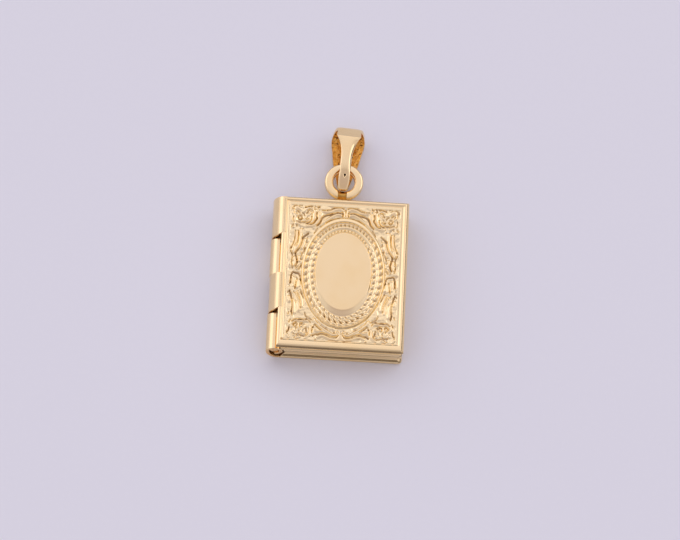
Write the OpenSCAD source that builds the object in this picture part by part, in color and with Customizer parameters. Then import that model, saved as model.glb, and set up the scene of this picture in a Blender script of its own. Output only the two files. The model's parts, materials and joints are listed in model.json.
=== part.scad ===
// Book-shaped photo locket, closed and lying on its back, with a ring and a tapered bail.
// Millimetres. X runs from the spine to the fore edge, Y from the foot to the bail, Z out of the front cover.
// The origin is under the middle of the whole piece, on the surface that the back cover lies on.

/* [Locket body] */
// Width from the rolled spine to the fore edge
body_w = 13.65; // [12.5:0.05:16]
// Height of the covers from foot to head
body_h = 16; // [15:0.1:20]
// Thickness of the closed locket
body_t = 3.6; // [3.4:0.1:4]
// Thickness of the stamped sheet
sheet_t = 0.35; // [0.3:0.01:0.36]
// Gap between the two closed covers
seam_gap = 0.06; // [0.04:0.01:0.1]

/* [Front ornament] */
// How far the raised rim stands above the field
rim_lift = 0.18; // [0.1:0.01:0.2]
// Width of the raised rim
rim_w = 0.62; // [0.5:0.01:0.9]
// Width of the plain oval
oval_w = 5.65; // [4:0.05:6]
// Height of the plain oval
oval_h = 8.5; // [6:0.05:9]
// Width of the ridge round the oval
ridge_w = 8.3; // [7.4:0.05:9]
// Height of the ridge round the oval
ridge_h = 11.7; // [10.6:0.05:12.4]
// Radius of each corner rosette
rosette_r = 1.05; // [0.7:0.05:1.1]

/* [Hinge] */
// Outer radius of the back cover's rolled knuckles
roll_r = 0.85; // [0.8:0.01:0.9]
// Radius of the hinge pin
pin_r = 0.46; // [0.4:0.01:0.48]
// Clearance between the pin and each bore
pin_gap = 0.04; // [0.02:0.01:0.05]
// Gap between neighbouring knuckles
knuckle_gap = 0.12; // [0.08:0.01:0.2]

/* [Ring and eyelet] */
// Radius of the ring's wire
wire_r = 0.4; // [0.35:0.01:0.42]
// Radius of the ring at the middle of its wire
ring_r = 1.55; // [1.5:0.01:1.6]
// Width of the eyelet strap that holds the ring
eyelet_w = 0.87; // [0.6:0.01:1.1]
// Thickness of the eyelet strap
eyelet_t = 0.23; // [0.2:0.01:0.25]

/* [Bail] */
// Length of the bail from its fold to its tip
bail_l = 6.65; // [6.3:0.05:7]
// Radius of the loop at the fold, seen from the side
fold_r = 1.75; // [1.6:0.05:1.75]
// Radius of the loop at the tip, seen from the side
tip_r = 1; // [0.95:0.05:1.1]
// Thickness of the bail's strip
strip_t = 0.4; // [0.35:0.01:0.45]
// Angle that the bail is turned out of line with the locket
bail_turn = 4; // [0:0.1:5]

/* [Hidden] */
$fn = 64;
over = 1;

// Heights and edges of the body
mid_z = body_t / 2;
fore_x = body_w / 2;
axis_x = -body_w / 2 + roll_r;
field_z = body_t - rim_lift;

// Ring, eyelet and bail, measured up from the head of the covers, and their places across
wire_y = 0.9;
ring_y = wire_y + ring_r;
tip_y = 1.64;
fold_w = 2.5;
strap_x = 0.08;
ring_x = 0.21;
bail_x = 0.1;
bail_top = tip_y + bail_l * cos(bail_turn) + fold_w / 2 * sin(bail_turn);
total_l = body_h + bail_top;
foot_y = -total_l / 2;
head_y = foot_y + body_h;

// Spine: where the other cover's sheet is cut, where the trays begin, and the curve of the outer sheet
cut_x = axis_x + 0.125;
tray_x = axis_x + 0.95;
bend_x = axis_x + 0.325;
bore_r = pin_r + pin_gap;
front_roll_r = roll_r - 0.05;
pin_inset = 0.12;
arc_steps = 12;

// Ends of the knuckles, down from the head: the first and third are the front cover's
knuckle_ends = [0, 0.262 * body_h, 0.506 * body_h, 0.757 * body_h, body_h];

// Edge of the front cover, from the seam up: inset from the outline, height above the middle
front_edge = [
    [0.07, seam_gap / 2],
    [0.05, 0.3],
    [0.12, 0.44],
    [0.26, 0.62],
    [0.3, 0.85],
    [0.28, 1.12],
    [0.16, 1.3],
    [0.02, 1.4],
    [0, 1.52],
    [0.03, 1.66],
    [0.1, 1.76],
    [0.2, mid_z]
];

// Edge of the back cover, from the seam down: inset from the outline, depth below the middle
back_edge = [
    [0.3, seam_gap / 2],
    [0.3, 0.95],
    [0.24, 1.12],
    [0.08, 1.26],
    [0, 1.42],
    [0, 1.6],
    [0.05, 1.74],
    [0.14, mid_z]
];

// Bail's strip: distance from the fold, width in front, width behind
bail_rows = [
    [0, fold_w, fold_w],
    [0.4, 2.45, 3.2],
    [0.9, 2.45, 3.4],
    [1.4, 2.4, 3.3],
    [1.95, 1.85, 3.1],
    [2.6, 1.35, 2.85],
    [3.4, 1.12, 2.55],
    [4.3, 1.09, 2.1],
    [5.2, 1.08, 1.6],
    [6.1, 1.1, 1.2],
    [6.65, 0.9, 0.9]
];
row_scale = bail_l / bail_rows[len(bail_rows) - 1][0];

wall_inset = 0.3 + sheet_t;
ledge_w = 0.4;
ledge_z = 0.5;

function reversed(list) = [for (i = [len(list) - 1:-1:0]) list[i]];

function ellipse(w, h, steps) = [
    for (i = [0:steps - 1]) [w / 2 * cos(360 * i / steps), h / 2 * sin(360 * i / steps)]
];

function arc(cx, cy, rx, ry, from, to, steps) = [
    for (i = [0:steps]) let (a = from + (to - from) * i / steps) [cx + rx * cos(a), cy + ry * sin(a)]
];

// Outline of two circles on one line and the tangents that join them
function teardrop(tip_c, tip_rad, fold_c, fold_rad) =
    let (touch = acos(-(fold_rad - tip_rad) / (fold_c - tip_c)))
    concat(
        arc(fold_c, 0, fold_rad, fold_rad, -touch, touch, 3 * arc_steps),
        arc(tip_c, 0, tip_rad, tip_rad, touch, 360 - touch, 2 * arc_steps)
    );

function strip_outline(column) = concat(
    [for (row = bail_rows) [row[column] / 2, bail_l - row[0] * row_scale]],
    [for (row = reversed(bail_rows)) [-row[column] / 2, bail_l - row[0] * row_scale]]
);

// Turns an outline in X and Z into a bar along Y
module along_y(from, to) {
    translate([0, to, 0]) rotate([90, 0, 0]) linear_extrude(to - from) children();
}

// Turns an outline in Y and Z into a bar along X
module along_x(from, to) {
    translate([from, 0, 0]) rotate([90, 0, 90]) linear_extrude(to - from) children();
}

// One half of the case, seam down: its edge runs round three sides, and the spine side is a plain wall
module tray(edge) {
    difference() {
        intersection() {
            along_y(foot_y, head_y) polygon(concat(
                [for (p = edge) [fore_x - p[0], p[1]]],
                [[cut_x, mid_z], [cut_x, mid_z - sheet_t], [tray_x, mid_z - sheet_t], [tray_x, seam_gap / 2]]
            ));
            along_x(cut_x - over, fore_x + over) polygon(concat(
                [for (p = edge) [head_y - p[0], p[1]]],
                [for (p = reversed(edge)) [foot_y + p[0], p[1]]]
            ));
        }
        tray_hollow();
    }
}

// Room for the photograph, with a narrow ledge round it
module tray_hollow() {
    left = tray_x + sheet_t;
    right = fore_x - wall_inset;
    low = foot_y + wall_inset;
    high = head_y - wall_inset;
    deep = mid_z - rim_lift - sheet_t;
    translate([left, low, -over]) cube([right - left, high - low, ledge_z + over]);
    translate([left + ledge_w, low + ledge_w, -over])
        cube([right - left - 2 * ledge_w, high - low - 2 * ledge_w, deep + over]);
}

// The sheet carried round the spine and rolled round the pin, between two distances from the head
module knuckle(start, end, r) {
    reach = bend_x - axis_x + r;
    along_y(head_y - end, head_y - start) difference() {
        union() {
            polygon(concat(
                arc(bend_x, 0, reach, mid_z, 180, 90, arc_steps),
                [[tray_x + sheet_t / 2, mid_z], [tray_x + sheet_t / 2, mid_z - sheet_t]],
                arc(bend_x, 0, reach - sheet_t, mid_z - sheet_t, 90, 180, arc_steps)
            ));
            translate([axis_x, 0]) circle(r);
        }
        translate([axis_x, 0]) circle(bore_r);
    }
}

module knuckles(first, r) {
    inset = 0.05;
    for (i = [first:2:3]) {
        start = i == 0 ? inset : knuckle_ends[i] + knuckle_gap / 2;
        end = i == 3 ? body_h - inset : knuckle_ends[i + 1] - knuckle_gap / 2;
        knuckle(start, end, r);
    }
}

// Oval, its ridge and the corner rosettes, raised on the sunk field
module face_relief() {
    field_x = (cut_x + fore_x) / 2;
    field_y = (foot_y + head_y) / 2;
    ridge_band = 0.45;
    ridge_lift = 0.12;
    oval_lift = 0.16;
    petal_r = 0.42;
    corner_x = 4.15;
    corner_y = 5.95;
    translate([field_x, field_y, field_z]) {
        translate([0, 0, -sheet_t / 2]) linear_extrude(sheet_t / 2 + oval_lift)
            polygon(ellipse(oval_w, oval_h, 60));
        translate([0, 0, -sheet_t / 2]) linear_extrude(sheet_t / 2 + ridge_lift) difference() {
            polygon(ellipse(ridge_w, ridge_h, 60));
            polygon(ellipse(ridge_w - 2 * ridge_band, ridge_h - 2 * ridge_band, 60));
        }
        for (sx = [-1, 1], sy = [-1, 1], turn = [0:90:270])
            translate([sx * corner_x, sy * corner_y, -sheet_t / 2]) rotate(turn + 45)
                translate([rosette_r - petal_r, 0, 0]) cylinder(r = petal_r, h = sheet_t / 2 + ridge_lift);
    }
}

// Flat strap soldered to the back cover's head wall and bent round the ring's wire
module eyelet() {
    root_low = 1.12;
    root_high = 1.72;
    translate([strap_x - eyelet_w / 2, 0, 0]) {
        along_x(0, eyelet_w) translate([head_y + wire_y, mid_z]) difference() {
            circle(wire_r + 0.03 + eyelet_t);
            circle(wire_r + 0.03);
        }
        translate([0, head_y - wall_inset + 0.05, root_low])
            cube([eyelet_w, wall_inset + wire_y - wire_r - eyelet_t, root_high - root_low]);
    }
}

module back_cover() {
    color([0.84, 0.68, 0.42]) {
        translate([0, 0, mid_z]) mirror([0, 0, 1]) {
            tray(back_edge);
            knuckles(1, roll_r);
        }
        eyelet();
    }
}

module front_cover() {
    color([0.92, 0.78, 0.52]) {
        difference() {
            translate([0, 0, mid_z]) {
                tray(front_edge);
                knuckles(0, front_roll_r);
            }
            translate([cut_x + rim_w, foot_y + rim_w, field_z])
                cube([fore_x - cut_x - 2 * rim_w, body_h - 2 * rim_w, over]);
        }
        face_relief();
    }
}

module hinge_pin() {
    color([0.8, 0.62, 0.36])
        translate([axis_x, head_y - pin_inset, mid_z]) rotate([90, 0, 0])
            cylinder(r = pin_r, h = body_h - 2 * pin_inset);
}

module hanging_ring() {
    color([0.95, 0.85, 0.6])
        translate([ring_x, head_y + ring_y, mid_z])
            rotate_extrude() translate([ring_r, 0]) circle(wire_r);
}

module bail() {
    tip_wall = 0.5;
    hole_r = tip_r - 0.45;
    color([0.88, 0.7, 0.42])
        translate([bail_x, head_y + tip_y, mid_z]) rotate([0, 0, -bail_turn])
            intersection() {
                along_x(-fold_w, fold_w) difference() {
                    polygon(teardrop(tip_r, tip_r, bail_l - fold_r, fold_r));
                    polygon(teardrop(tip_wall + hole_r, hole_r, bail_l - fold_r, fold_r - strip_t));
                }
                union() {
                    linear_extrude(fold_r + over) polygon(strip_outline(1));
                    translate([0, 0, -fold_r - over]) linear_extrude(fold_r + over) polygon(strip_outline(2));
                }
            }
}

back_cover();
front_cover();
hinge_pin();
hanging_ring();
bail();
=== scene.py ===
import json
import math

import bmesh
import bpy
import numpy as np
from mathutils import Matrix, Vector, noise


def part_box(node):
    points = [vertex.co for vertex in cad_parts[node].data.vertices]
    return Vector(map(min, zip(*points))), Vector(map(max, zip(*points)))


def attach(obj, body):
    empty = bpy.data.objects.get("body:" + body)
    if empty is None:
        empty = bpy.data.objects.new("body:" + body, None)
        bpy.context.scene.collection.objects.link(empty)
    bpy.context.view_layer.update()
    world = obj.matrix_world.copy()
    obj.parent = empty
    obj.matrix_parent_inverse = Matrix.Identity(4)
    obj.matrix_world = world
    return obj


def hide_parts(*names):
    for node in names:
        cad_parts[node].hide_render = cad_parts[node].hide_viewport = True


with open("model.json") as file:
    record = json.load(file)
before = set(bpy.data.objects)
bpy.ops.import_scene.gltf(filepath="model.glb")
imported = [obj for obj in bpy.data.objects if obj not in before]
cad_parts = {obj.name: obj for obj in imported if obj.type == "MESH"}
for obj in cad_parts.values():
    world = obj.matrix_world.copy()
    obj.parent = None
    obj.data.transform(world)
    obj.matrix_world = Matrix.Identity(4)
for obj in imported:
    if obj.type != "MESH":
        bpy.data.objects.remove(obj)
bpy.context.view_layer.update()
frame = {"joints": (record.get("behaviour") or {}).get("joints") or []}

# Everything is worked out in millimetres and turned into metres when a piece is made
MM = 0.001


def node_box(node):
    """Lowest and highest corners of a CAD node, in millimetres."""
    low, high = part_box(node)
    return np.array(low) / MM, np.array(high) / MM


# Places that the frame gives: the covers' edges, the seam, the pin and the ring
front_low, front_high = node_box("front_cover")
pin_low, pin_high = node_box("hinge_pin")
ring_low, ring_high = node_box("hanging_ring")
foot_y, head_y = front_low[1], front_high[1]
fore_x, top_z = front_high[0], front_high[2]
cover_h = head_y - foot_y
mid_z = top_z / 2
axis_x = frame["joints"][0]["pos_m"][0] / MM
pin_r = (pin_high[2] - pin_low[2]) / 2
ring_x = (ring_low[0] + ring_high[0]) / 2
ring_y = (ring_low[1] + ring_high[1]) / 2
wire_r = (ring_high[2] - ring_low[2]) / 2
ring_r = (ring_high[0] - ring_low[0]) / 2 - wire_r

# The stamped face is drawn from its own middle, and its field lies lower than the frame round it
FIELD_DEEP = 0.18
face_x, face_y = 0.4875, (foot_y + head_y) / 2
field_z = top_z - FIELD_DEEP


class Value:
    """A value inside a finish: arithmetic on it adds Math nodes."""

    def __init__(self, finish, socket):
        self.finish = finish
        self.socket = socket

    def __add__(self, other):
        return self.finish.math("ADD", self, other)

    def __sub__(self, other):
        return self.finish.math("SUBTRACT", self, other)

    def __rsub__(self, other):
        return self.finish.math("SUBTRACT", other, self)

    def __mul__(self, other):
        return self.finish.math("MULTIPLY", self, other)

    __radd__ = __add__
    __rmul__ = __mul__


class Finish:
    """A material in the making: each of its nodes comes from the one method that is called node."""

    def __init__(self, name, tree=None):
        if tree is None:
            self.material = bpy.data.materials.new(name)
            self.material.use_nodes = True
            tree = self.material.node_tree
        self.tree = tree
        self.tree.nodes.clear()

    def node(self, kind, settings, inputs, output=0):
        """Adds a node: first its settings, then the values or links of its sockets."""
        made = self.tree.nodes.new(kind)
        for key, value in settings.items():
            setattr(made, key, value)
        for key, value in inputs.items():
            if isinstance(value, Value):
                self.tree.links.new(value.socket, made.inputs[key])
            else:
                made.inputs[key].default_value = value
        return Value(self, made.outputs[output]) if made.outputs else None

    def math(self, operation, a, b):
        return self.node("ShaderNodeMath", {"operation": operation}, {0: a, 1: b})

    def mix(self, mask, under, over):
        """The colour under where the mask is 0, and the colour over where it is 1."""
        inputs = {"Factor": mask, 6: under, 7: over}
        return self.node("ShaderNodeMix", {"data_type": "RGBA"}, inputs, output=2)

    def spread(self, value, low, high):
        """Rises smoothly from 0 at low to 1 at high."""
        inputs = {"Value": value, "From Min": low, "From Max": high}
        return self.node("ShaderNodeMapRange", {"interpolation_type": "SMOOTHSTEP"}, inputs)

    def along(self, axis, vector):
        """How far a vector reaches along X, Y or Z."""
        return self.node("ShaderNodeSeparateXYZ", {}, {0: vector}, output=axis)

    def place(self, stretch=(1, 1, 1)):
        """Place on the piece in millimetres, stretched per axis."""
        point = self.node("ShaderNodeTexCoord", {}, {}, output="Object")
        scale = tuple(s / MM for s in stretch)
        return self.node("ShaderNodeVectorMath", {"operation": "MULTIPLY"}, {0: point, 1: scale})

    def cloud(self, point, size, detail=3, rough=0.55):
        """Soft noise between 0 and 1 whose patches are about size millimetres across."""
        inputs = {"Vector": point, "Scale": 1 / size, "Detail": detail, "Roughness": rough}
        return self.node("ShaderNodeTexNoise", {"noise_dimensions": "3D"}, inputs)

    def bump(self, height, strength, depth):
        """Makes a surface uneven by a height from 0 to 1 that stands for depth millimetres."""
        inputs = {"Strength": strength, "Distance": depth * MM, "Height": height}
        return self.node("ShaderNodeBump", {}, inputs)

    def surface(self, **inputs):
        """The finished material, with its shader's sockets set by name."""
        sockets = {name.replace("_", " "): value for name, value in inputs.items()}
        shader = self.node("ShaderNodeBsdfPrincipled", {}, sockets)
        self.node("ShaderNodeOutputMaterial", {}, {"Surface": shader})
        return self.material


def rgba(red, green, blue):
    return (red, green, blue, 1)


PALE_GOLD, WARM_GOLD = rgba(0.955, 0.735, 0.405), rgba(0.94, 0.7, 0.36)
# Tones of painted shade for the stamped face, from its slopes down to its deepest hollows
SLOPE_GOLD = rgba(0.97, 0.765, 0.425)
HOLLOW_SHADE_GOLD = rgba(0.73, 0.575, 0.355)
DEEPEST_SHADE_GOLD = rgba(0.47, 0.33, 0.18)
DEEP_GOLD = rgba(0.82, 0.4, 0.07)
# The bail's inside: deep orange that is partly painted shade inside the loop, with a lighter grain
CAST_SHADE_GOLD, CAST_GLINT = rgba(0.72, 0.3, 0.03), rgba(0.95, 0.58, 0.16)
PIT_BROWN = rgba(0.1, 0.035, 0.008)
# The strap's darker orange is painted shade, for the ring's shadow on it
STRAP_SHADE_DARK, STRAP_SHADE_LIGHT = rgba(0.52, 0.26, 0.05), rgba(0.68, 0.39, 0.09)
FLAW_DARK, FLAW_LIGHT = rgba(0.03, 0.015, 0.008), rgba(0.1, 0.05, 0.02)
PAPER_DARK, PAPER_LIGHT = rgba(0.785, 0.783, 0.79), rgba(0.8, 0.798, 0.805)
# The light tent: its low and its bright part, the hole for the view, and the rim where it ends
TENT_DIM, TENT_BRIGHT = rgba(0.62, 0.585, 0.68), rgba(1.06, 1.02, 1.18)
TENT_HOLE, TENT_RIM = rgba(0.58, 0.52, 0.61), rgba(0.14, 0.115, 0.11)
# Painted shade of the stamped face, darker the deeper a place lies: each tone is full below its first height,
# from field_z, and gone above its second
DEPTH_SHADE_TONES = [(0.1, 0.15, SLOPE_GOLD), (-0.08, 0.05, HOLLOW_SHADE_GOLD), (-0.13, -0.05, DEEPEST_SHADE_GOLD)]


def polished_gold(name, brushed=(1, 1, 1), blur=0.13, shaded_hollows=False):
    """Pale gold plating: faint warm clouds, fine polishing lines and a surface that waves very slightly.
    On the stamped face the shade of its hollows is painted: the lower a place lies, the darker its gold."""
    finish = Finish(name)
    point = finish.place()
    lines = finish.cloud(finish.place(brushed), 0.05, detail=2)
    clouds = finish.cloud(point, 3.2)
    specks = finish.spread(finish.cloud(point, 0.09, detail=1), 0.7, 0.82)
    colour = finish.mix(finish.spread(clouds, 0.35, 0.75), PALE_GOLD, WARM_GOLD)
    if shaded_hollows:
        # Painted shade in the hollows: the lower a place lies, the darker its gold
        height = finish.along("Z", point)
        for full, gone, tone in DEPTH_SHADE_TONES:
            colour = finish.mix(1 - finish.spread(height, field_z + full, field_z + gone), colour, tone)
    waves = finish.cloud(point, 0.9, detail=2)
    return finish.surface(
        Base_Color=colour,
        Metallic=1.0,
        Roughness=clouds * 0.06 + lines * 0.04 + specks * 0.08 + (blur - 0.05),
        Normal=finish.bump(waves + lines * 0.1, strength=0.2, depth=0.004),
    )


def cast_gold(name):
    """The inside of the bail, rough as it left the mould, with dark pits: its deep orange gold is partly
    painted shade inside the loop.
    """
    finish = Finish(name)
    point = finish.place()
    grain = finish.cloud(point, 0.16, detail=4, rough=0.7)
    pits = 1 - finish.spread(finish.cloud(point, 0.24, detail=2), 0.31, 0.4)
    colour = finish.mix(finish.spread(grain, 0.35, 0.75), CAST_SHADE_GOLD, CAST_GLINT)
    return finish.surface(
        Base_Color=finish.mix(pits, colour, PIT_BROWN),
        Metallic=1.0,
        Roughness=grain * 0.25 + 0.2,
        Normal=finish.bump(grain - pits * 0.7, strength=0.9, depth=0.05),
    )


def strap_shaded_gold(name):
    """The eyelet's strap: darker orange gold, painted shade for the ring's shadow that it lies in."""
    finish = Finish(name)
    stain = finish.cloud(finish.place(), 0.5)
    colour = finish.mix(finish.spread(stain, 0.3, 0.7), STRAP_SHADE_DARK, STRAP_SHADE_LIGHT)
    return finish.surface(Base_Color=colour, Metallic=1.0, Roughness=stain * 0.15 + 0.16)


def flaw_brown(name):
    """The bottom of a casting flaw, coloured dark brown to nearly black."""
    finish = Finish(name)
    grain = finish.cloud(finish.place(), 0.05, detail=2)
    colour = finish.mix(grain, FLAW_DARK, FLAW_LIGHT)
    return finish.surface(Base_Color=colour, Roughness=grain * 0.2 + 0.5)


def satin_gold(name):
    """The pin and the cut ends of the sheet, left as the saw and the file left them."""
    finish = Finish(name)
    grain = finish.cloud(finish.place(), 0.12, rough=0.65)
    return finish.surface(
        Base_Color=finish.mix(finish.spread(grain, 0.3, 0.7), DEEP_GOLD, PALE_GOLD),
        Metallic=1.0,
        Roughness=grain * 0.2 + 0.2,
        Normal=finish.bump(grain, strength=0.6, depth=0.02),
    )


def table_paper(name):
    """A pale lilac-grey sheet without texture to speak of."""
    finish = Finish(name)
    grain = finish.cloud(finish.place(), 0.5)
    colour = finish.mix(grain, PAPER_DARK, PAPER_LIGHT)
    return finish.surface(Base_Color=colour, Roughness=0.9, Specular_IOR_Level=0.1)


# How pieces are made


def mesh_of(name, points, faces):
    """A mesh from points in millimetres and faces."""
    mesh = bpy.data.meshes.new(name)
    mesh.from_pydata((np.asarray(points) * MM).tolist(), [], faces)
    return mesh


def dress(mesh, finishes, body, slot, stands_for=(), marks=None, sharp=None):
    """Turns a mesh into a piece that rides on a body. Marks say which finish each face has, and edges
    that turn by more than sharp degrees stay sharp."""
    for finish in finishes:
        mesh.materials.append(finish)
    if marks is not None:
        mesh.polygons.foreach_set("material_index", np.asarray(marks, dtype=np.int32))
    shape = bmesh.new()
    shape.from_mesh(mesh)
    bmesh.ops.recalc_face_normals(shape, faces=shape.faces)
    shape.to_mesh(mesh)
    shape.free()
    mesh.shade_smooth()
    if sharp:
        mesh.set_sharp_from_angle(angle=math.radians(sharp))
    piece = bpy.data.objects.new(mesh.name, mesh)
    bpy.context.scene.collection.objects.link(piece)
    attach(piece, body)
    if stands_for:
        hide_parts(*stands_for)


class Skin:
    """Collects the points and faces of one piece."""

    def __init__(self):
        self.points = []
        self.faces = []
        self.marks = []

    def add(self, points, faces, mark=0):
        start = len(self.points)
        self.points.extend(np.asarray(points, float).tolist())
        self.faces.extend([start + i for i in face] for face in faces)
        self.marks.extend(mark(face) if callable(mark) else mark for face in faces)

    def loft(self, rings, wrap=False, mark=0):
        """A closed skin through rings of equal length: a tube with flat ends, or a tube that meets itself."""
        count, size = len(rings), len(rings[0])
        faces = []
        for k in range(count if wrap else count - 1):
            here, there = k * size, (k + 1) % count * size
            faces.extend(
                (here + i, here + (i + 1) % size, there + (i + 1) % size, there + i) for i in range(size)
            )
        if not wrap:
            faces.append(tuple(range(size)))
            faces.append(tuple(range((count - 1) * size, count * size)))
        self.add(np.concatenate(rings), faces, mark)

    def piece(self, name, finishes, body, slot, **more):
        dress(mesh_of(name, self.points, self.faces), finishes, body, slot, marks=self.marks, **more)


def smooth_line(points, steps=8):
    """A smooth curve through a few points, with steps pieces between each two."""
    points = np.asarray(points, float)
    ends = np.concatenate([[2 * points[0] - points[1]], points, [2 * points[-1] - points[-2]]])
    t = np.linspace(0, 1, steps, endpoint=False)[:, None]
    parts = []
    for a, b, c, d in zip(ends, ends[1:], ends[2:], ends[3:]):
        parts.append(b + t * (c - a + t * (2 * a - 5 * b + 4 * c - d + t * (3 * b - a - 3 * c + d))) / 2)
    return np.concatenate(parts + [points[-1:]])


def ease(value, low, high):
    """0 below low, 1 above high and a smooth step between them."""
    t = np.clip((value - low) / (high - low), 0, 1)
    return t * t * (3 - 2 * t)


def mound(value, middle, reach, power=2):
    """1 in the middle, falling to 0 at reach on either side."""
    return np.clip(1 - ((value - middle) / reach) ** power, 0, 1)


def sideways(along):
    """Unit vectors square to the given ones, a quarter turn anticlockwise."""
    along = along / np.linalg.norm(along, axis=1)[:, None]
    return np.column_stack([-along[:, 1], along[:, 0]])


def arc_points(centre, radii, start, end, steps):
    """Points on an arc in a plane, from one angle to another, in degrees."""
    turn = np.radians(np.linspace(start, end, steps + 1))
    return np.stack([centre[0] + radii[0] * np.cos(turn), centre[1] + radii[1] * np.sin(turn)], 1)


def circle_points(centre, radius, steps):
    return arc_points(centre, (radius, radius), 0, 360 - 360 / steps, steps - 1)


def plan_ring(left, right, foot, head, z, round_left=0.03, round_right=0.1, steps=4):
    """A rectangle at height z with rounded corners, anticlockwise from its foot on the left."""
    corners = [
        (left + round_left, foot + round_left, round_left, 180),
        (right - round_right, foot + round_right, round_right, 270),
        (right - round_right, head - round_right, round_right, 0),
        (left + round_left, head - round_left, round_left, 90),
    ]
    flat = np.concatenate([arc_points((x, y), (r, r), a, a + 90, steps) for x, y, r, a in corners])
    return np.column_stack([flat, np.full(len(flat), z)])


# The covers. Places along X: where the sheet was cut for the rolls, each cover's spine wall at the seam,
# and the middle of the bend that leads into a roll
SHEET_T = 0.35
CUT_X = axis_x + 0.125
FRONT_WALL_X = axis_x + 0.95
BACK_WALL_X = axis_x + 1.5
BEND_X = axis_x + 0.325
# The room for the photograph: how far it lies inside the outline, its ledge and its ceiling above the seam
WALL_INSET = 0.65
LEDGE_W = 0.4
LEDGE_Z = 0.5
RECESS_Z = mid_z - FIELD_DEEP - SHEET_T
# Half of the gap between the closed covers
SEAM = 0.03

# A cover's edge from the seam outwards: inset from the outline, distance from the seam
FRONT_EDGE = [
    (0.09, 0.03), (0.05, 0.08), (0.05, 0.26), (0.1, 0.32), (0.13, 0.4), (0.11, 0.46), (0.06, 0.52),
    (0.05, 0.6), (0.05, 0.76), (0.07, 0.8), (0.15, 0.86), (0.165, 0.92), (0.15, 1.02), (0.1, 1.16),
    (0.045, 1.3), (0.01, 1.4), (0, 1.46), (0.003, 1.5), (0.055, 1.575), (0.18, 1.715), (0.225, 1.76),
    (0.27, 1.792), (0.28, 1.8),
]
BACK_EDGE = [
    (0.33, 0.03), (0.3, 0.08), (0.3, 0.95), (0.24, 1.12), (0.08, 1.26), (0, 1.42), (0, 1.6), (0.05, 1.74),
    (0.14, 1.8),
]
# The back's flat outside, sunk a little within its rim
BACK_FLAT = [(0.5, 1.8), (0.58, 1.775), (0.66, 1.765), (0.74, 1.78)]
# Lines of the frame round the face: left, right, foot and head from the face's middle, and height
FACE_LINES = [
    (-6.12, 6.04, -7.66, 7.69, 3.6),
    (-6.04, 5.98, -7.4, 7.66, 3.596),
    (-5.98, 5.9, -7.32, 7.63, 3.57),
    (-5.94, 5.83, -7.27, 7.6, 3.54),
    (-5.93, 5.78, -7.22, 7.57, 3.505),
    (-5.925, 5.75, -7.19, 7.55, 3.487),
    (-5.92, 5.71, -7.16, 7.53, 3.485),
    (-5.91, 5.66, -7.12, 7.5, 3.483),
    (-5.8, 5.56, -7.0, 7.36, 3.2),
]


def cover_recess(side, wall_x):
    """Rings of the room for the photograph, from its ceiling to the seam. Side is 1 in front, -1 behind."""
    left, right = wall_x + SHEET_T, fore_x - WALL_INSET
    foot, head = foot_y + WALL_INSET, head_y - WALL_INSET
    steps = [
        (LEDGE_W + 0.3, RECESS_Z + 0.02), (LEDGE_W + 0.02, RECESS_Z), (LEDGE_W, LEDGE_Z + 0.02),
        (0, LEDGE_Z), (0, SEAM),
    ]
    return [
        plan_ring(left + d, right - d, foot + d, head - d, mid_z + side * z, round_left=0.1) for d, z in steps
    ]


# The four knuckles: how far their ends are from the head, the gap between two, their rolls' outside
# radius, the pin's play in them, and how much further the front's notches open next to the cover
KNUCKLE_ENDS = [0.05, 0.262 * cover_h, 0.506 * cover_h, 0.757 * cover_h, cover_h - 0.05]
KNUCKLE_GAP = 0.09
FRONT_ROLL_R, BACK_ROLL_R = 0.8, 0.85
PIN_PLAY = 0.04
NOTCH_FLARE = 0.24
# Where the roll begins and ends round the pin, in degrees, and how far the sheet reaches into the cover
ROLL_START, ROLL_END = 190, 445
SHEET_TAIL = 0.22


def knuckle(skin, i, side, radius, flare=0.0):
    """The sheet comes over the spine and is rolled round the pin. Side is 1 in front and -1 behind. Flare
    cuts the end towards the foot aslant, so that the notch beside it is wider next to the cover."""
    start = KNUCKLE_ENDS[i] + (KNUCKLE_GAP / 2 if i else 0)
    end = KNUCKLE_ENDS[i + 1] - (KNUCKLE_GAP / 2 if i < 3 else 0)
    reach = BEND_X - axis_x + radius
    sheet = radius - pin_r - PIN_PLAY

    def sheet_line(inset):
        """The outside of the sheet, or a line that is inset from it, from the cover to the roll's end."""
        return np.concatenate([
            [(BEND_X + SHEET_TAIL, mid_z - inset)],
            arc_points((BEND_X, 0), (reach - inset, mid_z - inset), 90, 180, 18),
            arc_points((axis_x, 0), (radius - inset, radius - inset), ROLL_START, ROLL_END, 40),
        ])

    outer, inner = sheet_line(0), sheet_line(sheet)
    size, around = len(outer), 2 * len(outer)
    middle = (outer + inner) / 2
    bevel, thinned = 0.035, 0.72
    # Distance from the head, how far the cut is aslant, share of the sheet's thickness
    cuts = [(start, 0, thinned), (start + bevel, 0, 1), (end - bevel, flare, 1), (end, flare, thinned)]
    rings = []
    for distance, flared, fullness in cuts:
        outside = middle + (outer - middle) * fullness
        inside = middle + (inner - middle) * fullness
        x, height = np.concatenate([outside, inside[::-1]]).T
        y = head_y - distance + flared * ease(x, axis_x - 0.35, BEND_X + 0.1)
        rings.append(np.column_stack([x, y, mid_z + side * height]))
    faces = []
    for here in range(0, 3 * around, around):
        for i in range(around):
            j = (i + 1) % around
            faces.append((here + i, here + j, here + around + j, here + around + i))
    for end_ring in (0, 3 * around):
        for i in range(size - 1):
            back = end_ring + around - 1 - i
            faces.append((end_ring + i, end_ring + i + 1, back - 1, back))

    def finish_of(face):
        at_end = max(face) < around or min(face) >= 3 * around
        inside = min(i % around for i in face) >= size
        return 1 if at_end or inside else 0

    skin.add(np.concatenate(rings), faces, finish_of)


# The front cover's head edge is rounded: where that begins above the seam, and its radius
HEAD_ROUND_Z, HEAD_ROUND_R = 1.5, 0.3


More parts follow.
